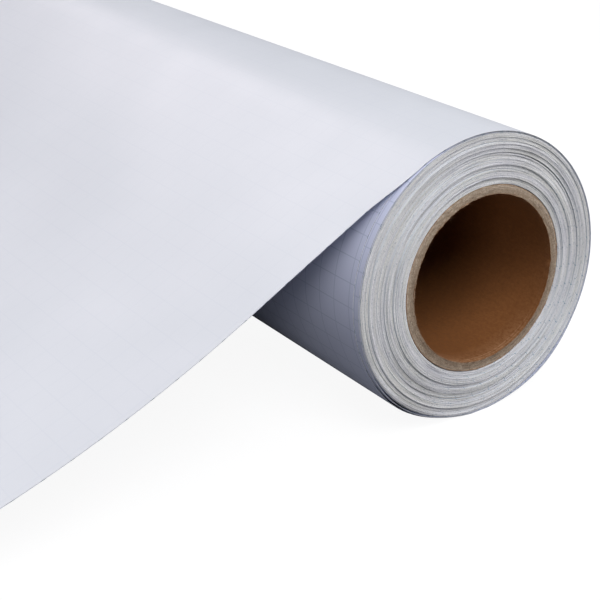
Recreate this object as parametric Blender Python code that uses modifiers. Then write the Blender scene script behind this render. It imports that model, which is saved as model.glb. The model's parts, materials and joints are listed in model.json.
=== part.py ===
"""Roll of self-adhesive sign vinyl, lying on a table with its free end pulled out and resting flat.

The vinyl web is a white film on a paper release liner. It is wound on a spiral-wound paperboard core,
leaves the roll over the top, and comes down to the table in a smooth sag.

Frame: X across the roll (the web is pulled out towards -X), Y along the core, Z up, in metres.
The origin is under the middle of the whole part, on the table.
"""

import math

import bmesh
import bpy
from mathutils import Vector

MM = 0.001

# Driving dimensions
WEB_WIDTH = 610 * MM
CORE_BORE_RADIUS = 38.1 * MM
ROLL_RADIUS = 64.6 * MM
FILM_THICKNESS = 0.10 * MM
LINER_THICKNESS = 0.15 * MM
WEB_SHIFT = 3.5 * MM
TAKE_OFF_ANGLE = math.radians(33.8)
SAG_RADIUS = 7 * ROLL_RADIUS
TAIL_LENGTH = 150 * MM
PEEL_LENGTH = 70 * MM
PEEL_BEND_RADIUS = 3 * MM

# Core: board plies between an inner and an outer cover ply, with a glue line between neighbours
KRAFT_PLY = 0.35 * MM
BOARD_PLY = 0.82 * MM
BOARD_PLY_COUNT = 4
GLUE_LINE = 0.02 * MM

# Tape that holds the web's inner end to the core
TAPE_THICKNESS = 0.10 * MM
TAPE_FACETS = 4

# Wound wraps, as nested sleeves; each entry is how far that sleeve's near edge stands out past the core's
WRAP_EDGE_STEPS = (0.2 * MM, -0.5 * MM, 0.7 * MM, 0.1 * MM, -0.4 * MM, 0.8 * MM, 0.0 * MM, 0.6 * MM)
SLEEVE_GAP = 0.05 * MM
LOOSE_DEPTH = 1.10 * MM
WOUND_RADIUS = ROLL_RADIUS - LOOSE_DEPTH

# Slack of the outermost wrap, which stands off the roll on both sides of the line where the roll rests:
# polar angle of each bump's middle, its half width, and its height
SLACK_BUMPS = (
    (math.radians(228), math.radians(32), 1.3 * MM),
    (math.radians(308), math.radians(28), 1.2 * MM),
)
INNER_END_CLEARANCE = 0.20 * MM

# Facets
ROUND_STEPS = 48
FACET_ANGLE = 2 * math.pi / ROUND_STEPS
OUTER_WRAP_STEPS = 46
SAG_STEPS = 16
LINE_STEPS = 3
PIECE_GAP = 0.30 * MM

TAKE_OFF_POLAR = math.pi / 2 + TAKE_OFF_ANGLE
WRAP_TURN = OUTER_WRAP_STEPS * FACET_ANGLE
WRAP_START_POLAR = TAKE_OFF_POLAR + 2 * math.pi - WRAP_TURN
INTERFACE_RADIUS = ROLL_RADIUS - FILM_THICKNESS - GLUE_LINE / 2
WRAP_RISE = FILM_THICKNESS + GLUE_LINE + LINER_THICKNESS + INNER_END_CLEARANCE

# Base colour and roughness of each material
FINISHES = {
    "kraft_paper": ((0.30, 0.17, 0.09, 1.0), 0.85),
    "core_board": ((0.46, 0.40, 0.33, 1.0), 0.92),
    "start_tape": ((0.85, 0.82, 0.70, 1.0), 0.45),
    "wound_web": ((0.62, 0.63, 0.65, 1.0), 0.70),
    "vinyl_film": ((0.84, 0.86, 0.90, 1.0), 0.38),
    "release_liner": ((0.78, 0.82, 0.86, 1.0), 0.60),
}


def clear_scene():
    """Removes whatever the scene holds."""
    for obj in list(bpy.data.objects):
        bpy.data.objects.remove(obj, do_unlink=True)


def make_material(name):
    """A plain Principled material with its colour and roughness from FINISHES."""
    color, roughness = FINISHES[name]
    material = bpy.data.materials.new(name)
    material.use_nodes = True
    shader = material.node_tree.nodes["Principled BSDF"]
    shader.inputs["Base Color"].default_value = color
    shader.inputs["Roughness"].default_value = roughness
    shader.inputs["Metallic"].default_value = 0.0
    return material


def slack(polar):
    """Extra radius of the outermost wrap at a polar angle, from its slack bumps."""
    extra = 0.0
    for centre, half_width, height in SLACK_BUMPS:
        offset = abs(polar - centre) / half_width
        if offset < 1:
            extra += height * math.cos(offset * math.pi / 2) ** 2
    return extra


def outer_wrap_path():
    """(x, z) points about the core axis where film meets liner, round the outermost wrap, inner end first."""
    points = []
    for step in range(OUTER_WRAP_STEPS + 1):
        share = step / OUTER_WRAP_STEPS
        polar = WRAP_START_POLAR + share * WRAP_TURN
        radius = INTERFACE_RADIUS - WRAP_RISE * (1 - share) + slack(polar)
        points.append((radius * math.cos(polar), radius * math.sin(polar)))
    return points


# Height of the core axis, with the roll resting on its outermost wrap
AXIS_HEIGHT = max(-z for x, z in outer_wrap_path()) + GLUE_LINE / 2 + FILM_THICKNESS
TABLE_PATH_Z = LINER_THICKNESS + GLUE_LINE / 2 - AXIS_HEIGHT


def ramp_path():
    """(x, z) points about the core axis where film meets liner, from the take-off line down to the table."""
    sine, cosine = math.sin(TAKE_OFF_ANGLE), math.cos(TAKE_OFF_ANGLE)
    start_x, start_z = -INTERFACE_RADIUS * sine, INTERFACE_RADIUS * cosine
    drop = start_z - TABLE_PATH_Z
    straight = drop / sine - SAG_RADIUS * math.tan(TAKE_OFF_ANGLE / 2)
    points = []
    for step in range(LINE_STEPS):
        along = straight * step / LINE_STEPS
        points.append((start_x - along * cosine, start_z - along * sine))
    bend_x = start_x - straight * cosine - SAG_RADIUS * sine
    centre_z = TABLE_PATH_Z + SAG_RADIUS
    for step in range(SAG_STEPS + 1):
        slope = TAKE_OFF_ANGLE * (1 - step / SAG_STEPS)
        points.append((bend_x + SAG_RADIUS * math.sin(slope), centre_z - SAG_RADIUS * math.cos(slope)))
    return points


TOUCHDOWN_X = ramp_path()[-1][0]
LEADING_EDGE_X = TOUCHDOWN_X - TAIL_LENGTH
PEEL_LINE_X = LEADING_EDGE_X + PEEL_LENGTH

# Middle of the core's near end, which puts the whole part's middle over the origin
ROLL_RIGHT = max(x for x, z in outer_wrap_path()) + GLUE_LINE / 2 + FILM_THICKNESS
ROLL_X = -(LEADING_EDGE_X + ROLL_RIGHT) / 2
ROLL_Y = -(WEB_WIDTH + WEB_SHIFT - max(WRAP_EDGE_STEPS)) / 2
CORE_NEAR_END = Vector((ROLL_X, ROLL_Y, AXIS_HEIGHT))


def offset_path(points, distance):
    """The path moved by distance to the right of its direction, each segment staying parallel to itself."""
    moved = []
    for index, point in enumerate(points):
        before = points[index - 1] if index else None
        after = points[index + 1] if index < len(points) - 1 else None
        arriving = point - before if before else after - point
        leaving = after - point if after else arriving
        normal_in = Vector((arriving.y, -arriving.x)).normalized()
        normal_out = Vector((leaving.y, -leaving.x)).normalized()
        miter = (normal_in + normal_out).normalized()
        moved.append(point + miter * (distance / miter.dot(normal_in)))
    return moved


def trimmed(points, start_gap, end_gap):
    """The path as vectors, with a gap's length cut off each end."""
    path = [Vector(point) for point in points]
    start = (path[1] - path[0]).normalized() * start_gap
    end = (path[-2] - path[-1]).normalized() * end_gap
    path[0] += start
    path[-1] += end
    return path


def finish_object(name, mesh, collection, material):
    """A new object with its mesh and material, in the part's collection."""
    obj = bpy.data.objects.new(name, mesh)
    obj.data.materials.append(material)
    collection.objects.link(obj)
    return obj


def make_sheet(name, path, inner_offset, thickness, near_y, pivot, collection, material):
    """A layer: the path swept across the web's width, then thickened to the path's right, the film side.

    path and pivot are (x, z) about the core axis, and the pivot becomes the object's origin.
    inner_offset is from the path to the layer's inner face, and near_y is the near edge's place along the core.
    """
    pivot = Vector(pivot)
    bm = bmesh.new()
    row = [bm.verts.new((x - pivot.x, near_y, z - pivot.y)) for x, z in offset_path(path, inner_offset)]
    edges = [bm.edges.new(pair) for pair in zip(row[:-1], row[1:])]
    swept = bmesh.ops.extrude_edge_only(bm, edges=edges)
    far_row = [item for item in swept["geom"] if isinstance(item, bmesh.types.BMVert)]
    bmesh.ops.translate(bm, verts=far_row, vec=(0, WEB_WIDTH, 0))
    bm.normal_update()
    direction = path[1] - path[0]
    first_face = row[0].link_faces[0]
    if first_face.normal.dot(Vector((direction.y, 0, -direction.x))) < 0:
        bmesh.ops.reverse_faces(bm, faces=bm.faces[:])
    mesh = bpy.data.meshes.new(name)
    bm.to_mesh(mesh)
    bm.free()
    mesh.shade_smooth()
    obj = finish_object(name, mesh, collection, material)
    obj.location = CORE_NEAR_END + Vector((pivot.x, 0, pivot.y))
    shell = obj.modifiers.new("thickness", "SOLIDIFY")
    shell.thickness = thickness
    shell.offset = 1.0
    shell.use_even_offset = True
    return obj


def make_film(name, path, pivot, collection, material):
    """The vinyl film over one stretch of the web's path."""
    return make_sheet(name, path, GLUE_LINE / 2, FILM_THICKNESS, WEB_SHIFT, pivot, collection, material)


def make_liner(name, path, pivot, collection, material):
    """The release liner under one stretch of the web's path."""
    inner_offset = -GLUE_LINE / 2 - LINER_THICKNESS
    return make_sheet(name, path, inner_offset, LINER_THICKNESS, WEB_SHIFT, pivot, collection, material)


def make_sleeve(name, inner, outer, edge_step, collection, material):
    """A round sleeve on the core axis, turned from a rectangle, its near edge edge_step past the core's end."""
    bm = bmesh.new()
    corners = [(outer, WEB_WIDTH), (outer, 0), (inner, 0), (inner, WEB_WIDTH)]
    verts = [bm.verts.new((radius, 0, height)) for radius, height in corners]
    for index, vert in enumerate(verts):
        bm.edges.new((vert, verts[(index + 1) % len(verts)]))
    mesh = bpy.data.meshes.new(name)
    bm.to_mesh(mesh)
    bm.free()
    obj = finish_object(name, mesh, collection, material)
    obj.location = CORE_NEAR_END - Vector((0, edge_step, 0))
    obj.rotation_euler = (-math.pi / 2, 0, 0)
    turn = obj.modifiers.new("turn", "SCREW")
    turn.steps = ROUND_STEPS
    turn.render_steps = ROUND_STEPS
    turn.use_smooth_shade = True
    turn.use_merge_vertices = True
    turn.merge_threshold = 0.00001
    return obj


def make_core(collection, kraft, board):
    """The core's plies, from the bore outwards. Returns the core's outer radius."""
    layers = [("core_inner_ply", KRAFT_PLY, kraft)]
    for number in range(1, BOARD_PLY_COUNT + 1):
        layers.append((f"core_board_ply_{number}", BOARD_PLY, board))
    layers.append(("core_outer_ply", KRAFT_PLY, kraft))
    radius = CORE_BORE_RADIUS
    for name, thickness, material in layers:
        make_sleeve(name, radius, radius + thickness, 0.0, collection, material)
        radius += thickness + GLUE_LINE
    return radius - GLUE_LINE


def make_start_tape(core_radius, collection, material):
    """The tape strip on top of the core, on the core's own facets. Returns its outer radius."""
    radius = core_radius + GLUE_LINE
    polars = [math.pi / 2 + step * FACET_ANGLE for step in range(TAPE_FACETS + 1)]
    path = [Vector((radius * math.cos(polar), radius * math.sin(polar))) for polar in polars]
    make_sheet("core_start_tape", path, 0.0, TAPE_THICKNESS, 0.0, (0, 0), collection, material)
    return radius + TAPE_THICKNESS


def make_wound_wraps(inner_radius, collection, material):
    """The wound wraps as nested sleeves, each with its own edge step."""
    pitch = (WOUND_RADIUS + SLEEVE_GAP - inner_radius) / len(WRAP_EDGE_STEPS)
    for number, edge_step in enumerate(WRAP_EDGE_STEPS, start=1):
        inner = inner_radius + (number - 1) * pitch
        outer = inner + pitch - SLEEVE_GAP
        make_sleeve(f"wound_wraps_{number}", inner, outer, edge_step, collection, material)


def make_unwound_web(collection, film, liner):
    """The outermost wrap, the sagging ramp, the flat tail and the film's peelable leading strip."""
    half_gap = PIECE_GAP / 2
    wrap = trimmed(outer_wrap_path(), 0, half_gap)
    make_liner("outer_wrap_liner", wrap, (0, 0), collection, liner)
    make_film("outer_wrap_film", wrap, (0, 0), collection, film)

    ramp = trimmed(ramp_path(), half_gap, half_gap)
    take_off = ramp_path()[0]
    make_liner("ramp_liner", ramp, take_off, collection, liner)
    make_film("ramp_film", ramp, take_off, collection, film)

    touchdown = (TOUCHDOWN_X, TABLE_PATH_Z)
    leading_edge = (LEADING_EDGE_X, TABLE_PATH_Z)
    peel_line = (PEEL_LINE_X, TABLE_PATH_Z)
    make_liner("tail_liner", trimmed([touchdown, leading_edge], half_gap, 0), touchdown, collection, liner)
    make_film("tail_film", trimmed([touchdown, peel_line], half_gap, half_gap), touchdown, collection, film)
    peel_pivot = (PEEL_LINE_X, TABLE_PATH_Z + PEEL_BEND_RADIUS)
    make_film("peel_strip_film", trimmed([peel_line, leading_edge], half_gap, 0), peel_pivot, collection, film)


def main():
    clear_scene()
    collection = bpy.data.collections.new("roll_of_sign_vinyl")
    bpy.context.scene.collection.children.link(collection)
    core_radius = make_core(collection, make_material("kraft_paper"), make_material("core_board"))
    tape_radius = make_start_tape(core_radius, collection, make_material("start_tape"))
    make_wound_wraps(tape_radius + SLEEVE_GAP, collection, make_material("wound_web"))
    make_unwound_web(collection, make_material("vinyl_film"), make_material("release_liner"))


if __name__ == "__main__":
    main()
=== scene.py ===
"""Looks of a roll of sign vinyl: wound web, loose outer wraps, free web and paperboard core.

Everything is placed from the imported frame. The web is one path in the XZ plane, from the tape on the
core, round the roll, over the top and down to the table, and every layer is swept from that path.
Its UV map holds metres along the web and metres in from its near edge, so the printed grid runs on
from piece to piece.
"""

import json
import math
import random

import bpy
import numpy as np
from mathutils import Matrix, Vector


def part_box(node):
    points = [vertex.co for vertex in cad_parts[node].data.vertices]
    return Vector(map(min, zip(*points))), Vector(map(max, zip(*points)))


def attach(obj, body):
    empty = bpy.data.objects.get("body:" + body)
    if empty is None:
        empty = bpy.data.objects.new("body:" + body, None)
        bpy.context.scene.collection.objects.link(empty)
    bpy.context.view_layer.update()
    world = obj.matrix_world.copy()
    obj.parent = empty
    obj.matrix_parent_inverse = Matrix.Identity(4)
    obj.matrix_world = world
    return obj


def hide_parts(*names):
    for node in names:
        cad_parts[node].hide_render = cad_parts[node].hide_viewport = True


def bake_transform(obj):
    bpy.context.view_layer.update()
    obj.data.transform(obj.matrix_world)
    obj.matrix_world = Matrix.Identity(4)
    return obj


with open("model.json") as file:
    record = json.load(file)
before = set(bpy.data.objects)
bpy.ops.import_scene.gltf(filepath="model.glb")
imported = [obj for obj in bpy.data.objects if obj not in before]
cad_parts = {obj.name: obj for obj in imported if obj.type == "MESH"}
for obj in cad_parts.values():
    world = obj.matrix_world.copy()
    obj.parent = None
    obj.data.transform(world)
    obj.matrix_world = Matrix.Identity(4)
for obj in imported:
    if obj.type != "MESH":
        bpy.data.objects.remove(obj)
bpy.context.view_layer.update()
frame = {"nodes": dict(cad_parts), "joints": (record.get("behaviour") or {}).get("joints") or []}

MM = 0.001
TURN = 2 * math.pi
RANDOM_SEED = 11
WHITE = (1.0, 1.0, 1.0)

# ---------------------------------------------------------------- sizes from the frame

JOINTS = {joint["name"]: joint for joint in frame["joints"]}
AXIS_X, _, AXIS_Z = JOINTS["roll_spin"]["pos_m"]
TAKE_OFF_X, _, TAKE_OFF_Z = JOINTS["web_lift"]["pos_m"]


def node_radius(node):
    """Outer radius of a round CAD node on the roll's axis."""
    low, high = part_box(node)
    return (high.x - low.x) / 2


CORE_NEAR_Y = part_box("core_inner_ply")[0].y
WEB_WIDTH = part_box("core_inner_ply")[1].y - CORE_NEAR_Y
WEB_NEAR_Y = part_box("ramp_film")[0].y
PIECE_GAP = 0.30 * MM
LEADING_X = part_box("tail_liner")[0].x
TOUCHDOWN_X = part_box("tail_liner")[1].x + PIECE_GAP / 2
LINER_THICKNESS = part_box("tail_liner")[1].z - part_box("tail_liner")[0].z
FILM_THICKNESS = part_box("tail_film")[1].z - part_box("tail_film")[0].z
GLUE_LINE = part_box("tail_film")[0].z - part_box("tail_liner")[1].z
TABLE_PATH_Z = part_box("tail_liner")[1].z + GLUE_LINE / 2
INTERFACE_RADIUS = math.hypot(TAKE_OFF_X - AXIS_X, TAKE_OFF_Z - AXIS_Z)
TAKE_OFF_POLAR = math.atan2(TAKE_OFF_Z - AXIS_Z, TAKE_OFF_X - AXIS_X)
SLOPE = TAKE_OFF_POLAR - math.pi / 2

# The free web is straight, then bends at a constant radius, and lands level on the table
REACH = TAKE_OFF_X - TOUCHDOWN_X
DROP = TAKE_OFF_Z - TABLE_PATH_Z
SAG_RADIUS = (REACH * math.sin(SLOPE) - DROP * math.cos(SLOPE)) / (1 - math.cos(SLOPE))
STRAIGHT_LENGTH = (REACH - SAG_RADIUS * math.sin(SLOPE)) / math.cos(SLOPE)
SAG_LENGTH = SAG_RADIUS * SLOPE
TOUCHDOWN = STRAIGHT_LENGTH + SAG_LENGTH
TAIL_LENGTH = TOUCHDOWN_X - LEADING_X

# ---------------------------------------------------------------- wound web

WEB_THICKNESS = 0.235 * MM
WRAP_PITCH = 0.250 * MM
WOUND_INNER = node_radius("core_outer_ply") + 0.20 * MM
WOUND_OUTER = node_radius("wound_wraps_8") - 0.05 * MM
LOOSE_TURNS = 3
STEPS_A_TURN = 144

# Bands of the roll's end, from the core outwards: each band's outer end as a share of the wound depth,
# how far its edge stands out of the roll's end, and the gap left outside it
BANDS = (
    (0.12, 0.30 * MM, 0.12 * MM),
    (0.26, 0.70 * MM, 0.12 * MM),
    (0.36, -0.10 * MM, 0.06 * MM),
    (0.475, 0.45 * MM, 0.16 * MM),
    (0.595, -0.35 * MM, 0.34 * MM),
    (0.705, 0.05 * MM, 0.18 * MM),
    (0.82, 0.45 * MM, 0.10 * MM),
    (0.89, -0.20 * MM, 0.06 * MM),
    (1.00, 0.25 * MM, 0.00 * MM),
)
SHIFT_TURNS = 0.12

# Small steps inside a band: how many turns each lasts, how far it hops sideways, the gaps outside it
STEP_TURNS = (1.0, 3.2)
STEP_HOP = 0.23 * MM
STEP_GAPS = (0.0, 0.02 * MM, 0.06 * MM)

# Sideways wander of the web as it was wound: height, radians of the wave in each radian, phase
EDGE_WANDER = (
    (0.07 * MM, 1.9, 0.7),
    (0.05 * MM, 4.1, 2.0),
    (0.04 * MM, 11.3, 0.0),
    (0.03 * MM, 29.7, 1.1),
)

# Near edge of the loose wraps, set back from the core's end: turns before the take-off line, set-back
LOOSE_EDGE = (
    (0.00, 0.70 * MM),
    (0.05, 0.00 * MM),
    (0.36, -0.30 * MM),
    (0.50, -0.35 * MM),
    (0.60, -0.30 * MM),
    (0.72, 2.20 * MM),
    (0.80, 3.40 * MM),
    (0.95, 3.80 * MM),
    (1.12, 0.20 * MM),
    (1.60, -0.20 * MM),
    (1.75, 0.60 * MM),
    (2.00, 0.10 * MM),
    (3.00, 0.00 * MM),
)
FREE_EDGE_LENGTH = 30 * MM

# Slack of the loose wraps: turns before the take-off line at each bump's middle, half width, height
SLACK_BUMPS = (
    (0.49, 28 / 360, 1.05 * MM),
    (0.71, 32 / 360, 1.55 * MM),
    (1.49, 28 / 360, 0.85 * MM),
    (1.71, 32 / 360, 0.90 * MM),
    (2.49, 26 / 360, 0.55 * MM),
    (2.71, 30 / 360, 0.15 * MM),
)


def smooth(share):
    """Eases a share from 0 to 1 with level ends."""
    share = min(1.0, max(0.0, share))
    return share * share * (3 - 2 * share)


def eased(table, place):
    """Value at a place in a table of (place, value), eased between entries."""
    for (start, first), (end, second) in zip(table[:-1], table[1:]):
        if place <= end:
            return first + (second - first) * smooth((place - start) / (end - start))
    return table[-1][1]


def step_schedule():
    """(turn at which it starts, near edge's set-back, radius added inside it) for each small step."""
    rng = random.Random(RANDOM_SEED)
    depth = WOUND_OUTER - WOUND_INNER
    schedule = []
    turns = 0.0
    added = 0.0
    for share, stand_out, gap in BANDS:
        while True:
            schedule.append((turns, -stand_out - rng.uniform(-STEP_HOP, STEP_HOP), added))
            turns += rng.uniform(*STEP_TURNS)
            if turns * WRAP_PITCH + added >= share * depth:
                break
            added += rng.choice(STEP_GAPS)
        added += gap
    return schedule


SCHEDULE = step_schedule()
WOUND_TURNS = (WOUND_OUTER - WOUND_INNER - SCHEDULE[-1][2]) / WRAP_PITCH


def wound_state(turns):
    """(radius of the web's inner face, near edge's set-back) after so many turns on the core."""
    set_back = SCHEDULE[0][1]
    added = 0.0
    for (start, level, gap), (_, before, gap_before) in zip(SCHEDULE[1:], SCHEDULE[:-1]):
        if turns <= start:
            break
        share = smooth((turns - start) / SHIFT_TURNS)
        set_back += (level - before) * share
        added += (gap - gap_before) * share
    wander = sum(height * math.sin(rate * turns + phase) for height, rate, phase in EDGE_WANDER)
    return WOUND_INNER + turns * WRAP_PITCH + added, set_back + wander


def slack(before):
    """How far a loose wrap stands off the roll, given turns before the take-off line."""
    extra = 0.0
    for centre, half_width, height in SLACK_BUMPS:
        offset = abs(before - centre) / half_width
        if offset < 1:
            extra += height * math.cos(offset * math.pi / 2) ** 2
    return extra


def loose_radius(before):
    """Radius of the film-to-liner interface, given turns before the take-off line."""
    depth = INTERFACE_RADIUS - WOUND_OUTER - LINER_THICKNESS
    return INTERFACE_RADIUS - before * depth / LOOSE_TURNS + slack(before)


# ---------------------------------------------------------------- the web's path

# Broad, shallow waves of the free web: height, metres a wave across and along, phase
RIPPLES = (
    (0.44 * MM, 0.46, 0.31, 0.4),
    (0.28 * MM, 0.23, -0.40, 2.1),
    (0.144 * MM, 0.11, 0.15, 4.0),
)
RIPPLE_FADE_IN = 80 * MM
RIPPLE_FADE_OUT = 100 * MM


class Station:
    """A place on the web's path: x and z, film-side normal, metres along the web, near edge's y."""

    def __init__(self, x, z, normal_x, normal_z, along, near_y):
        self.x = x
        self.z = z
        self.normal_x = normal_x
        self.normal_z = normal_z
        self.along = along
        self.near_y = near_y


def polar_station(radius, polar, along, near_y):
    """A station on the roll."""
    cosine, sine = math.cos(polar), math.sin(polar)
    return Station(AXIS_X + radius * cosine, AXIS_Z + radius * sine, cosine, sine, along, near_y)


def loose_stations():
    """Stations of the loose wraps, from their inner end to the take-off line, which is 0 metres along."""
    count = LOOSE_TURNS * STEPS_A_TURN
    stations = []
    for step in range(count + 1):
        before = LOOSE_TURNS * (1 - step / count)
        near_y = CORE_NEAR_Y + eased(LOOSE_EDGE, before)
        polar = TAKE_OFF_POLAR - before * TURN
        stations.append(polar_station(loose_radius(before), polar, 0.0, near_y))
    for index in range(count - 1, -1, -1):
        here, after = stations[index], stations[index + 1]
        here.along = after.along - math.hypot(after.x - here.x, after.z - here.z)
    fit_normals(stations)
    return stations


def fit_normals(stations):
    """Sets each station's normal square to the path through its neighbours."""
    last = len(stations) - 1
    for index, station in enumerate(stations):
        before, after = stations[max(index - 1, 0)], stations[min(index + 1, last)]
        step_x, step_z = after.x - before.x, after.z - before.z
        length = math.hypot(step_x, step_z)
        station.normal_x, station.normal_z = step_z / length, -step_x / length


def wound_stations(first_turn, last_turn, loose_start):
    """Stations of the wound web between two turn counts, on the inner face of the web."""
    stations = []
    count = int(round((last_turn - first_turn) * STEPS_A_TURN))
    for step in range(count + 1):
        turns = first_turn + (last_turn - first_turn) * step / count
        radius, set_back = wound_state(turns)
        turned = (WOUND_TURNS - turns) * TURN
        along = loose_start - turned * (radius + WOUND_OUTER) / 2
        stations.append(polar_station(radius, TAKE_OFF_POLAR - turned, along, CORE_NEAR_Y + set_back))
    return stations


def free_station(along):
    """A station of the free web, so many metres past the take-off line."""
    if along <= STRAIGHT_LENGTH:
        cosine, sine = math.cos(SLOPE), math.sin(SLOPE)
        first_y = CORE_NEAR_Y + LOOSE_EDGE[0][1]
        near_y = first_y + (WEB_NEAR_Y - first_y) * smooth(along / FREE_EDGE_LENGTH)
        return Station(TAKE_OFF_X - along * cosine, TAKE_OFF_Z - along * sine, -sine, cosine, along, near_y)
    if along <= TOUCHDOWN:
        left = SLOPE - (along - STRAIGHT_LENGTH) / SAG_RADIUS
        x = TOUCHDOWN_X + SAG_RADIUS * math.sin(left)
        z = TABLE_PATH_Z + SAG_RADIUS * (1 - math.cos(left))
        return Station(x, z, -math.sin(left), math.cos(left), along, WEB_NEAR_Y)
    return Station(TOUCHDOWN_X - (along - TOUCHDOWN), TABLE_PATH_Z, 0.0, 1.0, along, WEB_NEAR_Y)


def free_stations(start, end, step):
    """Stations of the free web between two distances past the take-off line."""
    count = max(1, int(round((end - start) / step)))
    return [free_station(start + (end - start) * index / count) for index in range(count + 1)]


def ripple(along, across):
    """How far the free web stands off its path, which dies out at the roll and at the table."""
    if along <= 0:
        return 0.0
    fade = smooth(along / RIPPLE_FADE_IN) * smooth((TOUCHDOWN - along) / RIPPLE_FADE_OUT)
    return fade * sum(
        height * math.sin(TURN * (across / width + along / length) + phase)
        for height, width, length, phase in RIPPLES
    )


# ---------------------------------------------------------------- meshes

OUTER_FACE, CUT_EDGE, INNER_FACE = range(3)
SHARP_ANGLE = math.radians(35)
CORE_SHARP_ANGLE = math.radians(50)


def sheet(name, stations, inner, outer, columns, materials, rippled=False):
    """A closed layer swept along stations, between two offsets on their normals, across the web's width.

    materials are those of the outer face, the cut edges and the inner face.
    """
    rows = len(stations)
    verts, alongs, acrosses = [], [], []
    for offset in (outer, inner):
        for station in stations:
            for column in range(columns + 1):
                across = column / columns * WEB_WIDTH
                off = offset + (ripple(station.along, across) if rippled else 0.0)
                verts.append((
                    station.x + station.normal_x * off,
                    station.near_y + across,
                    station.z + station.normal_z * off,
                ))
                alongs.append(station.along)
                acrosses.append(across)
    width = columns + 1
    layer = rows * width
    faces, slots = [], []

    def add(quad, slot):
        faces.append(quad)
        slots.append(slot)

    for row in range(rows - 1):
        for column in range(columns):
            corner = row * width + column
            above = corner + width
            add((corner, corner + 1, above + 1, above), OUTER_FACE)
            add((layer + corner, layer + above, layer + above + 1, layer + corner + 1), INNER_FACE)
        near, far = row * width, row * width + columns
        add((near, near + width, layer + near + width, layer + near), CUT_EDGE)
        add((far, layer + far, layer + far + width, far + width), CUT_EDGE)
    for column in range(columns):
        last = (rows - 1) * width + column
        add((column, layer + column, layer + column + 1, column + 1), CUT_EDGE)
        add((last, last + 1, layer + last + 1, layer + last), CUT_EDGE)

    mesh = bpy.data.meshes.new(name)
    mesh.from_pydata(verts, [], faces)
    for material in materials:
        mesh.materials.append(material)
    mesh.polygons.foreach_set("material_index", slots)
    corners = np.array(faces).ravel()
    on_edge = np.repeat(np.array(slots) == CUT_EDGE, 4)
    depth = np.where(corners < layer, outer - inner, 0.0)
    across = np.where(on_edge, depth, np.array(acrosses)[corners])
    web_map = np.column_stack((np.array(alongs)[corners], across)).astype(np.float32)
    mesh.uv_layers.new(name="web").data.foreach_set("uv", web_map.ravel())
    return finish_mesh(name, mesh)


def finish_mesh(name, mesh, sharp_angle=SHARP_ANGLE):
    """A new object for a mesh, shaded smooth except across sharp edges."""
    mesh.validate()
    mesh.shade_smooth()
    mesh.set_sharp_from_angle(angle=sharp_angle)
    obj = bpy.data.objects.new(name, mesh)
    bpy.context.scene.collection.objects.link(obj)
    return obj


# ---------------------------------------------------------------- material building

PATTERN_MIDDLE = (0.3, 0.7)


def new_material(name):
    """A node material. Returns (material, node tree, its Principled shader)."""
    material = bpy.data.materials.new(name)
    material.use_nodes = True
    tree = material.node_tree
    return material, tree, tree.nodes["Principled BSDF"]


def put(tree, socket, value):
    """Links a socket to an input, or sets the input's value."""
    if isinstance(value, bpy.types.NodeSocket):
        tree.links.new(value, socket)
    elif isinstance(value, tuple) and len(value) == 3 and socket.type == "RGBA":
        socket.default_value = (*value, 1.0)
    else:
        socket.default_value = value


def dress(tree, shader, color, roughness, normal=None, specular=None):
    """Plugs a material's colour, roughness, and if given its normal and specular level, into its shader."""
    put(tree, shader.inputs["Base Color"], color)
    put(tree, shader.inputs["Roughness"], roughness)
    if normal is not None:
        put(tree, shader.inputs["Normal"], normal)
    if specular is not None:
        put(tree, shader.inputs["Specular IOR Level"], specular)


def node(tree, kind, inputs=None, **settings):
    """A shader node with its settings and inputs; an input's value may be another node's output."""
    made = tree.nodes.new("ShaderNode" + kind)
    for key, value in settings.items():
        setattr(made, key, value)
    for key, value in (inputs or {}).items():
        put(tree, made.inputs[key], value)
    return made


def calc(tree, operation, first, second=0.0):
    """Output of a Math node."""
    return node(tree, "Math", {0: first, 1: second}, operation=operation).outputs[0]


def blend_colors(tree, factor, first, second):
    """Output of a colour Mix node."""
    return node(tree, "Mix", {0: factor, 6: first, 7: second}, data_type="RGBA").outputs[2]


def multiplied(tree, first, second):
    """Output of a colour Mix node that multiplies two colours."""
    inputs = {0: 1.0, 6: first, 7: second}
    return node(tree, "Mix", inputs, data_type="RGBA", blend_type="MULTIPLY").outputs[2]


def remap(tree, value, low, high, to_low=0.0, to_high=1.0):
    """Output of a clamped Map Range node."""
    inputs = {"Value": value, "From Min": low, "From Max": high, "To Min": to_low, "To Max": to_high}
    return node(tree, "MapRange", inputs).outputs[0]


def spread(tree, pattern, lowest, highest):
    """A noise pattern spread between two values."""
    return remap(tree, pattern, *PATTERN_MIDDLE, lowest, highest)


def noise(tree, vector, scale, detail=3.0, roughness=0.55):
    """Output of a noise texture."""
    inputs = {"Vector": vector, "Scale": scale, "Detail": detail, "Roughness": roughness}
    return node(tree, "TexNoise", inputs).outputs["Fac"]


def stretched(tree, vector, scale):
    """A vector multiplied by three factors."""
    return node(tree, "Mapping", {"Vector": vector, "Scale": scale}).outputs[0]


def bump(tree, height, distance, strength=1.0, normal=None):
    """Output of a Bump node."""
    inputs = {"Height": height, "Distance": distance, "Strength": strength}
    if normal is not None:
        inputs["Normal"] = normal
    return node(tree, "Bump", inputs).outputs[0]


def object_coordinates(tree):
    """Coordinates fixed to the piece, in metres."""
    return node(tree, "TexCoord").outputs["Object"]


def web_coordinates(tree):
    """(metres along the web, metres in from its near edge, both as one vector)."""
    vector = node(tree, "UVMap", uv_map="web").outputs[0]
    parts = node(tree, "SeparateXYZ", {0: vector})
    return parts.outputs[0], parts.outputs[1], vector


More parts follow.
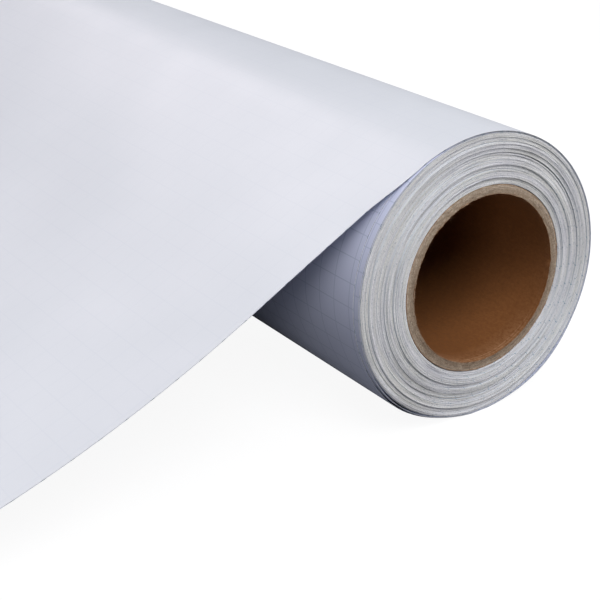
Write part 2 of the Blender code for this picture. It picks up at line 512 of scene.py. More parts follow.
def roll_coordinates(tree):
    """(metres from the axis, polar angle, metres along the axis) of a point on a piece of the roll."""
    parts = node(tree, "SeparateXYZ", {0: object_coordinates(tree)})
    across = calc(tree, "SUBTRACT", parts.outputs[0], AXIS_X)
    up = calc(tree, "SUBTRACT", parts.outputs[2], AXIS_Z)
    squares = calc(tree, "ADD", calc(tree, "MULTIPLY", across, across), calc(tree, "MULTIPLY", up, up))
    return calc(tree, "SQRT", squares), calc(tree, "ARCTAN2", up, across), parts.outputs[1]


def rings(tree, radial_scale, turning_scale, detail):
    """Noise drawn out round the axis into rings that change slowly as they go round."""
    radius, polar, _ = roll_coordinates(tree)
    vector = node(tree, "CombineXYZ", {
        0: calc(tree, "MULTIPLY", radius, radial_scale),
        1: calc(tree, "MULTIPLY", calc(tree, "COSINE", polar), turning_scale),
        2: calc(tree, "MULTIPLY", calc(tree, "SINE", polar), turning_scale),
    }).outputs[0]
    return noise(tree, vector, scale=1.0, detail=detail, roughness=0.7)


# ---------------------------------------------------------------- materials of the web

GRID_PITCH = 9.75 * MM
GRID_LINE = 0.32 * MM
GRID_PHASE_ALONG = 2.05 * MM
GRID_PHASE_ACROSS = 7.1 * MM
# Grid strength: faint on lit film, stronger where the shade under the sheet is painted in
GRID_SHOW_THROUGH_AND_SHADE = (0.048, 0.38)
PAINTED_SHADE_ALONG = (-150 * MM, -250 * MM)
GRID_COLOR = (0.16, 0.30, 0.40)
GRID_UNDER_FILM = (0.30, 0.36, 0.48)
GRID_WEAR = (0.45, 0.95)

FILM_COLOR = (0.670, 0.690, 0.724)
FILM_SHADE = (0.658, 0.678, 0.712)
# Painted shade: bluer film where the roll lies in shade under the sheet
PAINTED_SHADE_TINT = (1.00, 1.005, 1.17)
FILM_ROUGHNESS = (0.34, 0.46)
ADHESIVE_COLORS = ((0.44, 0.45, 0.47), (0.54, 0.55, 0.57))
LINER_COLOR = (0.56, 0.60, 0.755)
WOUND_BACK_COLOR = (0.66, 0.68, 0.72)
LINER_FACE_COLORS = ((0.70, 0.71, 0.70), (0.76, 0.77, 0.76))

# Cut edges are painted darker on the roll, as painted shade of the gaps beside the wraps' edges, and lighter
# on the free web
EDGE_FADE = (-30 * MM, 30 * MM)
FILM_EDGE_SHADED = ((0.42, 0.42, 0.44), (0.56, 0.56, 0.58))
FILM_EDGE_UNSHADED = ((0.66, 0.675, 0.71), (0.76, 0.775, 0.81))
LINER_EDGE_SHADED = ((0.27, 0.27, 0.29), (0.42, 0.42, 0.44))
LINER_EDGE_UNSHADED = ((0.58, 0.60, 0.66), (0.72, 0.74, 0.80))
EDGE_INK = (0.04, 0.10, 0.14)
EDGE_INK_WIDTH = 1.2 * MM
EDGE_INK_STRENGTH = 0.95

WOUND_EDGE_COOL = (0.745, 0.728, 0.747)
WOUND_EDGE_WARM = (0.755, 0.738, 0.695)
WOUND_EDGE_BRIGHT = (0.95, 0.94, 0.93)
# Painted shade: dark rings for the shadowed gaps between wraps
WOUND_EDGE_GAP_SHADE = (0.30, 0.30, 0.33)
WOUND_EDGE_SPECK = (0.38, 0.38, 0.39)
WOUND_EDGE_INK = (0.16, 0.22, 0.30)
WOUND_INK_WIDTH = 0.6 * MM


def line_mask(tree, coordinate, phase, width):
    """1 on the printed lines at every grid pitch of a coordinate, 0 between them."""
    shifted = calc(tree, "ADD", coordinate, phase)
    distance = calc(tree, "PINGPONG", shifted, GRID_PITCH / 2)
    return remap(tree, distance, width * 0.5, width * 0.8, 1.0, 0.0)


def grid_mask(tree):
    """1 on the lines of the printed grid, both ways."""
    along, across, _ = web_coordinates(tree)
    first = line_mask(tree, along, GRID_PHASE_ALONG, GRID_LINE)
    second = line_mask(tree, across, GRID_PHASE_ACROSS, GRID_LINE)
    return calc(tree, "MAXIMUM", first, second)


def film_face_material(name, shaded):
    """White calendered vinyl: satin, with a faint orange peel, and the liner's grid just showing through.

    On the shaded film, below the roll's widest place, the white is painted bluer and the grid stronger, as
    painted shade where the roll lies under the sheet.
    """
    material, tree, shader = new_material(name)
    place = object_coordinates(tree)
    mottle = noise(tree, place, scale=9.0, detail=4.0)
    color = blend_colors(tree, remap(tree, mottle, 0.35, 0.65), FILM_COLOR, FILM_SHADE)
    along, _, _ = web_coordinates(tree)
    # painted shade: bluer film and a stronger grid below the roll's widest place
    under = remap(tree, along, *PAINTED_SHADE_ALONG) if shaded else 0.0
    shade_tinted = tuple(part * tint for part, tint in zip(FILM_COLOR, PAINTED_SHADE_TINT))
    color = blend_colors(tree, under, color, shade_tinted)
    show_through_and_shade = remap(tree, under, 0.0, 1.0, *GRID_SHOW_THROUGH_AND_SHADE)
    lines = calc(tree, "MULTIPLY", grid_mask(tree), show_through_and_shade)
    color = blend_colors(tree, lines, color, GRID_UNDER_FILM)
    smudge = noise(tree, place, scale=26.0, detail=5.0, roughness=0.65)
    waves = bump(tree, noise(tree, place, scale=7.0, detail=2.0), 0.3 * MM, strength=0.5)
    peel = bump(tree, noise(tree, place, scale=950.0, detail=2.0), 0.02 * MM, 0.35, waves)
    dress(tree, shader, color, spread(tree, smudge, *FILM_ROUGHNESS), peel, specular=0.45)
    return material


def soiled_edge_color(tree, pattern, shaded_tones, unshaded_tones):
    """Colour of a cut edge: a pattern between two tones, darker on the roll as painted shade of the gaps
    between wraps, lighter on the free web.
    """
    along, _, _ = web_coordinates(tree)
    shaded_on_roll = blend_colors(tree, pattern, *shaded_tones)
    # painted shade: darker edges on the roll
    on_free_web = blend_colors(tree, pattern, *unshaded_tones)
    return blend_colors(tree, remap(tree, along, *EDGE_FADE), shaded_on_roll, on_free_web)


def film_edge_material():
    """Cut edge of the film."""
    material, tree, shader = new_material("vinyl_film_edge")
    _, _, vector = web_coordinates(tree)
    grain = noise(tree, stretched(tree, vector, (900.0, 5000.0, 1.0)), scale=1.0)
    dress(tree, shader, soiled_edge_color(tree, grain, FILM_EDGE_SHADED, FILM_EDGE_UNSHADED), 0.55)
    return material


def film_back_material():
    """The film's adhesive side: greyish, with a sticky shine."""
    material, tree, shader = new_material("vinyl_film_adhesive")
    mottle = noise(tree, object_coordinates(tree), scale=160.0, detail=4.0)
    color = blend_colors(tree, mottle, *ADHESIVE_COLORS)
    normal = bump(tree, mottle, 0.03 * MM, strength=0.4)
    dress(tree, shader, color, spread(tree, mottle, *FILM_ROUGHNESS), normal)
    return material


def liner_back_material(name, tone):
    """Back of the release liner: pale coated paper with a printed grid."""
    material, tree, shader = new_material(name)
    place = object_coordinates(tree)
    fibres = noise(tree, place, scale=420.0, detail=5.0, roughness=0.6)
    paler = tuple(0.9 * part + 0.09 for part in tone)
    color = blend_colors(tree, fibres, tone, paler)
    worn = remap(tree, noise(tree, place, scale=1300.0, detail=2.0), 0.30, 0.55, *GRID_WEAR)
    color = blend_colors(tree, calc(tree, "MULTIPLY", grid_mask(tree), worn), color, GRID_COLOR)
    normal = bump(tree, fibres, 0.03 * MM, strength=0.4)
    dress(tree, shader, color, spread(tree, fibres, 0.50, 0.62), normal)
    return material


def liner_edge_material():
    """Cut edge of the liner: paper fibres, with a dot of ink at each printed line."""
    material, tree, shader = new_material("release_liner_edge")
    along, _, vector = web_coordinates(tree)
    fibres = noise(tree, stretched(tree, vector, (1400.0, 9000.0, 1.0)), scale=1.0, detail=4.0, roughness=0.7)
    color = soiled_edge_color(tree, fibres, LINER_EDGE_SHADED, LINER_EDGE_UNSHADED)
    is_line = line_mask(tree, along, GRID_PHASE_ALONG, EDGE_INK_WIDTH)
    ink = calc(tree, "MULTIPLY", is_line, EDGE_INK_STRENGTH)
    dress(tree, shader, blend_colors(tree, ink, color, EDGE_INK), 0.85)
    return material


def liner_face_material():
    """Release side of the liner: smooth siliconised paper."""
    material, tree, shader = new_material("release_liner_face")
    fibres = noise(tree, object_coordinates(tree), scale=300.0, detail=4.0)
    color = blend_colors(tree, fibres, *LINER_FACE_COLORS)
    dress(tree, shader, color, spread(tree, fibres, 0.16, 0.26))
    return material


def wound_edge_material():
    """The roll's end: rings of film and liner edges in differing tones, with dark rings of painted shade for
    the gaps between wraps, inked at each printed line.
    """
    material, tree, shader = new_material("wound_web_edge")
    along, _, _ = web_coordinates(tree)
    fine = rings(tree, radial_scale=1900.0, turning_scale=2.2, detail=4.0)
    broad = rings(tree, radial_scale=420.0, turning_scale=1.1, detail=1.0)
    grain = noise(tree, object_coordinates(tree), scale=2100.0, detail=4.0, roughness=0.75)
    color = blend_colors(tree, remap(tree, broad, 0.40, 0.60), WOUND_EDGE_COOL, WOUND_EDGE_WARM)
    color = blend_colors(tree, remap(tree, fine, 0.50, 0.62), color, WOUND_EDGE_BRIGHT)
    # painted shade: dark rings for the gaps between wraps
    color = blend_colors(tree, remap(tree, fine, 0.44, 0.34, 0.0, 0.85), color, WOUND_EDGE_GAP_SHADE)
    color = blend_colors(tree, remap(tree, grain, 0.50, 0.66, 0.0, 0.60), color, WOUND_EDGE_SPECK)
    is_line = line_mask(tree, along, GRID_PHASE_ALONG, WOUND_INK_WIDTH)
    ink = calc(tree, "MULTIPLY", is_line, remap(tree, grain, 0.40, 0.62, 0.0, 0.55))
    color = blend_colors(tree, ink, color, WOUND_EDGE_INK)
    dress(tree, shader, color, 0.8, bump(tree, calc(tree, "ADD", fine, grain), 0.12 * MM, strength=0.6))
    return material


# ---------------------------------------------------------------- materials of the core

PLY_WIDTH = 110 * MM
SEAM_EDGES = (0.2 * MM, 1.2 * MM)
BORE_KRAFT = ((0.175, 0.064, 0.019), (0.255, 0.102, 0.033))
COVER_KRAFT = ((0.20, 0.10, 0.05), (0.34, 0.19, 0.10))
BORE_SEAM_STRENGTH = 0.4
COVER_SEAM_STRENGTH = 0.2
# Lighter kraft near the bore's mouth: partly rubbing and score lines, partly painted light at the lower side
# where light falls in
KRAFT_RUBBED_AND_LIT = (0.42, 0.24, 0.13)
MOUTH_RUB_AND_LIGHT_DEPTH = (12.0 * MM, 0.5 * MM)
MOUTH_SCORES = (1.3 * MM, 2.8 * MM)
SCORE_EDGES = (0.35 * MM, 0.15 * MM)

# Tones of cut board: dark fibres, light fibres, pale specks
KRAFT_CUT_TONES = ((0.36, 0.235, 0.15), (0.60, 0.43, 0.30), (0.80, 0.68, 0.54))
BOARD_TONES = ((0.33, 0.25, 0.18), (0.62, 0.51, 0.40), (0.86, 0.77, 0.65))
BOARD_PIT = (0.12, 0.095, 0.075)
RIM_RADII = (39.3 * MM, 42.1 * MM)
RIM_INNER_TONE = (0.80, 0.74, 0.68)
RIM_OUTER_TONE = (1.12, 1.10, 1.08)
# Painted shade of the cut ends: darker towards the lower side, lighter at the top
RIM_LOW_SHADE = (0.74, 0.72, 0.70)
RIM_SHADE_SINES = (-0.7, 0.9)

TAPE_COLORS = ((0.60, 0.52, 0.34), (0.74, 0.68, 0.50))


def kraft_color(tree, tones, seam_line, seam_strength, fibres):
    """Brown paper with fibres, blotches and the lines of its spiral winding."""
    dark, light = tones
    blotch = noise(tree, object_coordinates(tree), scale=38.0, detail=4.0, roughness=0.6)
    color = blend_colors(tree, remap(tree, fibres, *PATTERN_MIDDLE), dark, light)
    color = blend_colors(tree, remap(tree, blotch, 0.35, 0.65, 0.0, 0.25), color, dark)
    return blend_colors(tree, calc(tree, "MULTIPLY", seam_line, seam_strength), color, dark)


def mouth_wear(tree, polar, axial, fibres):
    """How far the kraft is lightened at a point: rubbed near the bore's near mouth and along its score lines,
    and most at the lower side, as painted light where light falls into the mouth.
    """
    from_mouth = calc(tree, "SUBTRACT", axial, CORE_NEAR_Y)
    rub_and_light = remap(tree, from_mouth, *MOUTH_RUB_AND_LIGHT_DEPTH, 0.0, 0.35)
    for depth in MOUTH_SCORES:
        away = calc(tree, "ABSOLUTE", calc(tree, "SUBTRACT", from_mouth, depth))
        rub_and_light = calc(tree, "MAXIMUM", rub_and_light, remap(tree, away, *SCORE_EDGES, 0.0, 0.80))
    # painted light: strongest at the lower side of the mouth, where the light falls in
    lit_low_side = remap(tree, calc(tree, "SINE", polar), -0.55, -0.95, 0.15, 1.0)
    rub_and_light = calc(tree, "MULTIPLY", rub_and_light, lit_low_side)
    return calc(tree, "MULTIPLY", rub_and_light, remap(tree, fibres, 0.35, 0.55))


def kraft_material(name, tones, seam_strength):
    """Brown kraft paper of the core."""
    material, tree, shader = new_material(name)
    _, polar, axial = roll_coordinates(tree)
    lead = calc(tree, "MULTIPLY", polar, PLY_WIDTH / TURN)
    seam = calc(tree, "PINGPONG", calc(tree, "ADD", axial, lead), PLY_WIDTH / 2)
    seam_line = remap(tree, seam, *SEAM_EDGES, 1.0, 0.0)
    grain = stretched(tree, object_coordinates(tree), (1.0, 0.55, 1.0))
    fibres = noise(tree, grain, scale=900.0, detail=5.0, roughness=0.7)
    color = kraft_color(tree, tones, seam_line, seam_strength, fibres)
    color = blend_colors(tree, mouth_wear(tree, polar, axial, fibres), color, KRAFT_RUBBED_AND_LIT)
    normal = bump(tree, calc(tree, "SUBTRACT", fibres, seam_line), 0.12 * MM, strength=0.5)
    dress(tree, shader, color, spread(tree, fibres, 0.62, 0.85), normal, specular=0.2)
    return material


def board_material(name, tones):
    """Cut paperboard: fibres that run round the axis, specks of other paper, and painted shade that darkens
    it towards the lower side.
    """
    material, tree, shader = new_material(name)
    dark, light, pale = tones
    place = object_coordinates(tree)
    layers = rings(tree, radial_scale=2600.0, turning_scale=14.0, detail=4.0)
    fibres = noise(tree, place, scale=1500.0, detail=6.0, roughness=0.75)
    clumps = noise(tree, place, scale=320.0, detail=4.0, roughness=0.65)
    pits = noise(tree, place, scale=1100.0)
    color = blend_colors(tree, remap(tree, layers, 0.35, 0.65), dark, light)
    color = blend_colors(tree, remap(tree, clumps, 0.45, 0.65, 0.0, 0.55), color, dark)
    color = blend_colors(tree, remap(tree, fibres, 0.52, 0.70, 0.0, 0.75), color, pale)
    color = blend_colors(tree, remap(tree, pits, 0.58, 0.70, 0.0, 0.55), color, BOARD_PIT)
    radius, polar, _ = roll_coordinates(tree)
    outer_share = remap(tree, radius, *RIM_RADII)
    # painted shade: darker towards the lower side, lighter at the top
    lit_share = remap(tree, calc(tree, "SINE", polar), *RIM_SHADE_SINES)
    color = multiplied(tree, color, blend_colors(tree, outer_share, RIM_INNER_TONE, RIM_OUTER_TONE))
    color = multiplied(tree, color, blend_colors(tree, lit_share, RIM_LOW_SHADE, WHITE))
    dress(tree, shader, color, 0.95, bump(tree, calc(tree, "ADD", fibres, layers), 0.30 * MM, strength=0.8))
    return material


def tape_material():
    """Translucent-looking yellowish packing tape."""
    material, tree, shader = new_material("start_tape")
    ripples = noise(tree, stretched(tree, object_coordinates(tree), (1.0, 0.1, 1.0)), scale=700.0)
    color = blend_colors(tree, ripples, *TAPE_COLORS)
    dress(tree, shader, color, spread(tree, ripples, 0.20, 0.34), bump(tree, ripples, 0.02 * MM, 0.5))
    return material


# ---------------------------------------------------------------- the core

PLY_GLUE = 0.02 * MM
BORE_CLEARANCE = 0.35 * MM
CORE_STEPS = 288
CORE_FRAY = 0.35 * MM
FRAY_DEPTH = 3 * MM
BORE_RAGGED = 0.20 * MM
BORE_NOTCHES = 5
NOTCH_DEPTH = 0.50 * MM
NOTCH_HALF_STEPS = (1.2, 2.4)
LARGEST_TEAR = 0.7

# Paper fibres that stand on the core's cut ends; leans and curls are shares of a fibre's length
FIBRE_COUNT = 260
FIBRE_LENGTH = (0.5 * MM, 1.9 * MM)
FIBRE_RADIUS = 0.035 * MM
FIBRE_TAPER = 0.75
FIBRE_PARTS = 3
FIBRE_SIDES = 3
FIBRE_LEAN_OUT = (0.0, 0.6)
FIBRE_LEAN_IN = (0.1, 0.9)
FIBRE_CURL_OUT = (-0.3, 0.6)
FIBRE_CURL = 0.6
FIBRE_BORE_OVERLAP = 0.25 * MM


def hashed(*values):
    """A repeatable number from 0 to 1 for some values."""
    return random.Random(repr((RANDOM_SEED, *values))).random()


def fray(ply, step, ring):
    """How far a point of a core ply's cut end stands proud, in metres."""
    polar = step / CORE_STEPS * TURN
    tear = 0.5 * math.sin(7 * polar + ply) + 0.5 * math.sin(17 * polar + 2.1 * ply)
    return CORE_FRAY * (0.45 * tear + 0.9 * (hashed(ply, step % CORE_STEPS, ring) - 0.5))


def ragged(step):
    """How far the bore's cut edge is torn outwards at a step round it, in metres."""
    torn = BORE_RAGGED * (hashed("edge", step % CORE_STEPS) - 0.6)
    narrowest, widest = NOTCH_HALF_STEPS
    for notch in range(BORE_NOTCHES):
        centre = hashed("notch", notch) * CORE_STEPS
        half_width = narrowest + (widest - narrowest) * hashed("width", notch)
        offset = abs((step - centre + CORE_STEPS / 2) % CORE_STEPS - CORE_STEPS / 2) / half_width
        torn += NOTCH_DEPTH * max(0.0, 1 - offset)
    return torn


def core_tube(name, ply, inner, outer, face, cut):
    """A tube of the core with frayed cut ends, with materials for its faces and its cut ends."""
    low_y, high_y = CORE_NEAR_Y, CORE_NEAR_Y + WEB_WIDTH
    middle = (inner + outer) / 2
    profile = [
        (inner, low_y + FRAY_DEPTH),
        (inner, low_y),
        (middle, low_y),
        (outer, low_y),
        (outer, low_y + FRAY_DEPTH),
        (outer, high_y - FRAY_DEPTH),
        (outer, high_y),
        (middle, high_y),
        (inner, high_y),
        (inner, high_y - FRAY_DEPTH),
    ]
    verts, faces, slots = [], [], []
    count = len(profile)
    for step in range(CORE_STEPS):
        polar = step / CORE_STEPS * TURN
        for ring, (radius, y) in enumerate(profile):
            at_end = y in (low_y, high_y)
            if ply == 0 and at_end and radius == inner:
                radius += min(ragged(step + ring), (outer - inner) * LARGEST_TEAR)
            if at_end:
                y += fray(ply, step, ring) if y == high_y else -fray(ply, step, ring)
            verts.append((AXIS_X + radius * math.cos(polar), y, AXIS_Z + radius * math.sin(polar)))
    for step in range(CORE_STEPS):
        here, after = step * count, (step + 1) % CORE_STEPS * count
        for ring in range(count):
            next_ring = (ring + 1) % count
            faces.append((here + ring, here + next_ring, after + next_ring, after + ring))
            slots.append(1 if profile[ring][1] == profile[next_ring][1] else 0)
    mesh = bpy.data.meshes.new(name)
    mesh.from_pydata(verts, [], faces)
    mesh.materials.append(face)
    mesh.materials.append(cut)
    mesh.polygons.foreach_set("material_index", slots)
    return finish_mesh(name, mesh, CORE_SHARP_ANGLE)


def fibre(verts, faces, rng, ring_radius, y, outward):
    """Adds one curved, tapering paper fibre that stands on the core's cut end."""
    polar = rng.uniform(0, TURN)
    radial = Vector((math.cos(polar), 0, math.sin(polar)))
    tangent = Vector((-math.sin(polar), 0, math.cos(polar)))
    axial = Vector((0, outward, 0))
    foot = Vector((AXIS_X, y, AXIS_Z)) + radial * ring_radius
    lean = axial * rng.uniform(*FIBRE_LEAN_OUT) - radial * rng.uniform(*FIBRE_LEAN_IN)
    lean = (lean + tangent * rng.uniform(-1, 1)).normalized()
    curl = (tangent * rng.uniform(-1, 1) + axial * rng.uniform(*FIBRE_CURL_OUT)) * FIBRE_CURL
    length = rng.uniform(*FIBRE_LENGTH)
    first = len(verts)
    for part in range(FIBRE_PARTS + 1):
        share = part / FIBRE_PARTS
        centre = foot + lean * length * share + curl * length * share * share
        for corner in range(FIBRE_SIDES):
            angle = corner / FIBRE_SIDES * TURN
            side = radial * math.cos(angle) + axial * math.sin(angle)
            verts.append(centre + side * FIBRE_RADIUS * (1 - FIBRE_TAPER * share))
    for part in range(FIBRE_PARTS):
        start = first + part * FIBRE_SIDES
        for corner in range(FIBRE_SIDES):
            here, after = start + corner, start + (corner + 1) % FIBRE_SIDES
            faces.append((here, after, after + FIBRE_SIDES, here + FIBRE_SIDES))
    tip = first + FIBRE_PARTS * FIBRE_SIDES
    faces.append(tuple(range(first + FIBRE_SIDES - 1, first - 1, -1)))
    faces.append(tuple(range(tip, tip + FIBRE_SIDES)))


def build_fibres(material):
    """Loose paper fibres round the bore's cut edges, at both ends of the core."""
    rng = random.Random(RANDOM_SEED)
    bore = node_radius("core_inner_ply") - FIBRE_BORE_OVERLAP
    wall = node_radius("core_board_ply_4") - bore
    verts, faces = [], []
    for y, outward in ((CORE_NEAR_Y, -1), (CORE_NEAR_Y + WEB_WIDTH, 1)):
        for _ in range(FIBRE_COUNT):
            fibre(verts, faces, rng, bore + wall * rng.random() ** 3, y, outward)
    mesh = bpy.data.meshes.new("core_end_fibres")
    mesh.from_pydata(verts, [], faces)
    mesh.materials.append(material)
    hairs = finish_mesh("core_end_fibres", mesh)
    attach(hairs, "wound_core")


# ---------------------------------------------------------------- assembly

WRAP_COLUMNS = 24
FREE_COLUMNS = 60
FINE_STEP = 1 * MM
COARSE_STEP = 4 * MM
SPLIT_CLEARANCE = 0.02 * MM
FIRST_SEAM = 2 * MM
LIFT_BEND_END = 34 * MM
MIDDLE_SEAM = STRAIGHT_LENGTH + 0.45 * SAG_LENGTH
TABLE_SEAM = TOUCHDOWN + 65 * MM
WEB_END = TOUCHDOWN + TAIL_LENGTH


def stand_for(piece, slot, *nodes):
    """Hides the CAD nodes that a piece stands for. Its slot, the record's material slot, is not used."""
    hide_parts(*nodes)
    return piece


def build_core():
    """The six plies of the core and the fibres on its ends."""
    cut_kraft = board_material("kraft_cut", KRAFT_CUT_TONES)
    board = board_material("core_board", BOARD_TONES)
    bore_kraft = kraft_material("kraft_bore", BORE_KRAFT, BORE_SEAM_STRENGTH)
    cover_kraft = kraft_material("kraft_cover", COVER_KRAFT, COVER_SEAM_STRENGTH)
    plies = [("inner_ply", bore_kraft, cut_kraft, "kraft_paper")]
    plies += [(f"board_ply_{number}", board, board, "core_board") for number in range(1, 5)]
    plies.append(("outer_ply", cover_kraft, cut_kraft, "kraft_paper"))
    inner = node_radius("core_inner_ply") - BORE_CLEARANCE
    for ply, (name, face, cut, slot) in enumerate(plies):
        outer = node_radius(f"core_{name}")
        tube = core_tube(f"frayed_{name}", ply, inner, outer, face, cut)
        stand_for(tube, slot, f"core_{name}")
        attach(tube, "wound_core")
        inner = outer + PLY_GLUE
    build_fibres(cut_kraft)


def build_wound_web(loose_start):
    """The tight wraps, in the three parts that can slip past one another."""
    film_face = film_face_material("wound_film_face", False)
    liner_back = liner_back_material("wound_liner_back", WOUND_BACK_COLOR)
    materials = (film_face, wound_edge_material(), liner_back)
    parts = (
        ("wound_web_inner", "wound_core", (1, 2)),
        ("wound_web_middle", "wound_middle", (3, 4, 5)),
        ("wound_web_outer", "wound_outer", (6, 7, 8)),
    )
    start = 0.0
    for name, body, numbers in parts:
        end = WOUND_TURNS
        if body != "wound_outer":
            radius = node_radius(f"wound_wraps_{numbers[-1]}") + SPLIT_CLEARANCE
            end = round((radius - WOUND_INNER) / (WOUND_OUTER - WOUND_INNER) * WOUND_TURNS)
        stations = wound_stations(start, end, loose_start)
        roll = sheet(name, stations, 0.0, WEB_THICKNESS, 1, materials)
        stand_for(roll, "wound_web", *[f"wound_wraps_{number}" for number in numbers])
        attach(roll, body)
        start = end


def build_layer(layer, slot, loose, inner, outer, materials):
    """The film or the liner of the loose wraps and the free web, cut where body hands over to body."""
    stations = loose + free_stations(0.0, FIRST_SEAM, FINE_STEP)[1:]
    wraps = sheet(f"loose_wraps_{layer}", stations, inner, outer, WRAP_COLUMNS, materials)
    stand_for(wraps, slot, f"outer_wrap_{layer}")
    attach(wraps, "outer_wrap")

    stations = free_stations(FIRST_SEAM, LIFT_BEND_END, FINE_STEP)
    stations += free_stations(LIFT_BEND_END, MIDDLE_SEAM, COARSE_STEP)[1:]
    upper = sheet(f"free_web_upper_{layer}", stations, inner, outer, FREE_COLUMNS, materials, rippled=True)
    stand_for(upper, slot, f"ramp_{layer}")
    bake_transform(upper)

    stations = free_stations(MIDDLE_SEAM, TABLE_SEAM, COARSE_STEP)
    lower = sheet(f"free_web_lower_{layer}", stations, inner, outer, FREE_COLUMNS, materials, rippled=True)
    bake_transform(lower)

    stations = free_stations(TABLE_SEAM, WEB_END, FINE_STEP)
    tail = sheet(f"flat_end_{layer}", stations, inner, outer, FREE_COLUMNS, materials)
    stand_for(tail, slot, f"tail_{layer}")
    if layer == "film":
        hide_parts("peel_strip_film")
        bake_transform(tail)
    else:
        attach(tail, "web_tail")


def build_free_web(loose):
    """The loose wraps and the free web: film over liner, with the adhesive's thickness between them."""
    film = (film_face_material("vinyl_film_face", True), film_edge_material(), film_back_material())
    liner_back = liner_back_material("release_liner_back", LINER_COLOR)
    liner = (liner_face_material(), liner_edge_material(), liner_back)
    half_glue = GLUE_LINE / 2
    build_layer("film", "vinyl_film", loose, half_glue, half_glue + FILM_THICKNESS, film)
    build_layer("liner", "release_liner", loose, -half_glue - LINER_THICKNESS, -half_glue, liner)


def repaint_tape():
    """The tape under the first wrap keeps its CAD solid and gets its own material."""
    tape = frame["nodes"]["core_start_tape"]
    tape.data.materials.clear()
    tape.data.materials.append(tape_material())


# ---------------------------------------------------------------- stage

FLOOR_SIZE = 14.0
FLOOR_DROP = 0.1 * MM
FLOOR_BOUNCE = (0.13, 0.135, 0.145)
FLOOR_BOUNCE_FAR = (0.60, 0.605, 0.615)
FLOOR_FAR_X = (-0.28, -0.50)
FLOOR_SEEN = (0.11, 0.11, 0.11)
FLOOR_GLOW = 0.925
WORLD_LEVEL = 0.19
WORLD_TINT = (0.76, 0.81, 1.0)
LIGHT_AIM_DEPTH = 100 * MM

# Softboxes: name, direction from the roll's near end, distance, size, level, tint
SOFTBOXES = (
    ("key_softbox", (-0.14, -0.60, 0.78), 2.2, 1.3, 0.76, WHITE),
    ("top_softbox", (0.0, 0.05, 1.0), 2.2, 1.6, 0.28, WHITE),
    ("sheen_softbox", (-0.08, 0.80, 0.58), 2.2, 1.0, 0.19, (1.0, 0.90, 0.93)),
    ("side_softbox", (1.0, -0.05, 0.40), 2.2, 1.2, 0.30, WHITE),
    ("near_softbox", (0.80, -0.58, -0.02), 0.6, 0.35, 0.16, WHITE),
    ("fill_softbox", (-0.80, -0.58, 0.16), 1.4, 0.4, 0.11, WHITE),
)

CAMERA_PLACE = Vector((-0.04783, -0.59506, 0.22288))
CAMERA_LOOK = Vector((0.7318, 0.5310, -0.4273))
CAMERA_UP = Vector((0.2567, 0.3661, 0.8945))
CAMERA_LENS = 57.95
CAMERA_SHIFTS = {"shift_x": -0.5988, "shift_y": 0.0902}
CAMERA_CLIP = 10 * MM
CAMERA_PLACE_TOLERANCE = 1 * MM


def floor_material():
    """Plain, pale, matt floor that throws little light back up near the roll and more beyond the sheet."""
    material, tree, shader = new_material("pale_floor")
    seen = node(tree, "LightPath").outputs["Is Camera Ray"]
    across = node(tree, "SeparateXYZ", {0: object_coordinates(tree)}).outputs[0]
    bounce = blend_colors(tree, remap(tree, across, *FLOOR_FAR_X), FLOOR_BOUNCE, FLOOR_BOUNCE_FAR)
    dress(tree, shader, blend_colors(tree, seen, bounce, FLOOR_SEEN), 0.9, specular=0.1)
    put(tree, shader.inputs["Emission Color"], WHITE)
    put(tree, shader.inputs["Emission Strength"], calc(tree, "MULTIPLY", seen, FLOOR_GLOW))
    return material


def build_floor():
    """A plain pale floor."""
    bpy.ops.mesh.primitive_plane_add(size=FLOOR_SIZE, location=(0, 0, -FLOOR_DROP))
    floor = bpy.context.object
    floor.name = "pale_floor"
    floor.data.materials.append(floor_material())


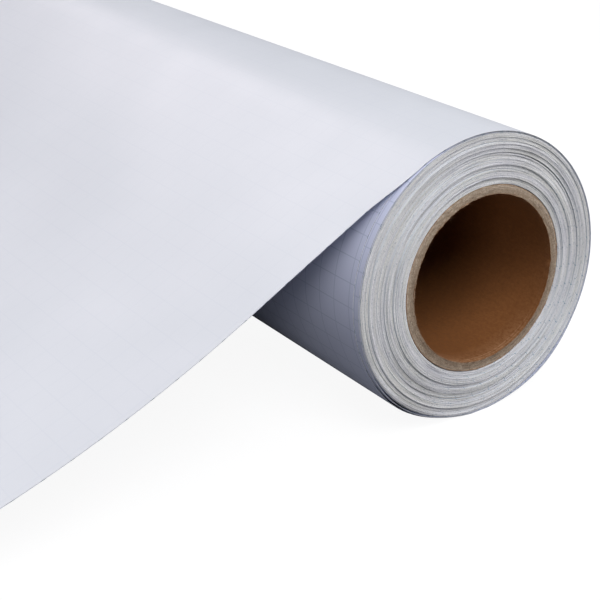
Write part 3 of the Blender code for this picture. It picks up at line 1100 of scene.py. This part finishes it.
def build_softbox(name, direction, distance, size, level, tint):
    """A square softbox, hidden from the camera; a white card that faces it looks as bright as its level."""
    away = Vector(direction).normalized()
    data = bpy.data.lights.new(name, "AREA")
    data.size = size
    data.energy = level * (math.pi * distance) ** 2
    data.color = tint
    light = bpy.data.objects.new(name, data)
    light.location = Vector((AXIS_X, CORE_NEAR_Y + LIGHT_AIM_DEPTH, AXIS_Z)) + away * distance
    light.rotation_euler = away.to_track_quat("Z", "Y").to_euler()
    light.visible_camera = False
    bpy.context.scene.collection.objects.link(light)


def build_world():
    """An even, slightly cool surround, which looks white to the camera."""
    world = bpy.data.worlds.new("surround")
    world.use_nodes = True
    tree = world.node_tree
    background = tree.nodes["Background"]
    seen = node(tree, "LightPath").outputs["Is Camera Ray"]
    put(tree, background.inputs["Color"], blend_colors(tree, seen, WORLD_TINT, WHITE))
    put(tree, background.inputs["Strength"], remap(tree, seen, 0.0, 1.0, WORLD_LEVEL, 1.0))
    bpy.context.scene.world = world


def shift_at_own_place(camera, channel, shift):
    """Shifts the camera's lens, only while the camera stands at its own place."""
    driver = camera.data.driver_add(channel).driver
    driver.type = "SCRIPTED"
    variable = driver.variables.new()
    variable.name = "x"
    variable.type = "TRANSFORMS"
    variable.targets[0].id = camera
    variable.targets[0].transform_type = "LOC_X"
    variable.targets[0].transform_space = "WORLD_SPACE"
    driver.expression = f"{shift} if abs(x - {CAMERA_PLACE.x:.5f}) < {CAMERA_PLACE_TOLERANCE} else 0.0"


def build_camera():
    """The camera, with its lens shifted off centre while it stands at its own place."""
    data = bpy.data.cameras.new("camera")
    data.lens = CAMERA_LENS
    data.clip_start = CAMERA_CLIP
    camera = bpy.data.objects.new("camera", data)
    look = CAMERA_LOOK.normalized()
    right = look.cross(CAMERA_UP).normalized()
    turn = Matrix((right, right.cross(look), -look)).transposed().to_4x4()
    camera.matrix_world = Matrix.Translation(CAMERA_PLACE) @ turn
    bpy.context.scene.collection.objects.link(camera)
    bpy.context.scene.camera = camera
    for channel, shift in CAMERA_SHIFTS.items():
        shift_at_own_place(camera, channel, shift)


def build_stage():
    """Floor, lights, surround and camera."""
    build_floor()
    build_world()
    for softbox in SOFTBOXES:
        build_softbox(*softbox)
    build_camera()
    scene = bpy.context.scene
    scene.view_settings.view_transform = "Standard"
    scene.view_settings.look = "None"


def main():
    loose = loose_stations()
    build_core()
    build_wound_web(loose[0].along)
    build_free_web(loose)
    repaint_tape()
    build_stage()


main()
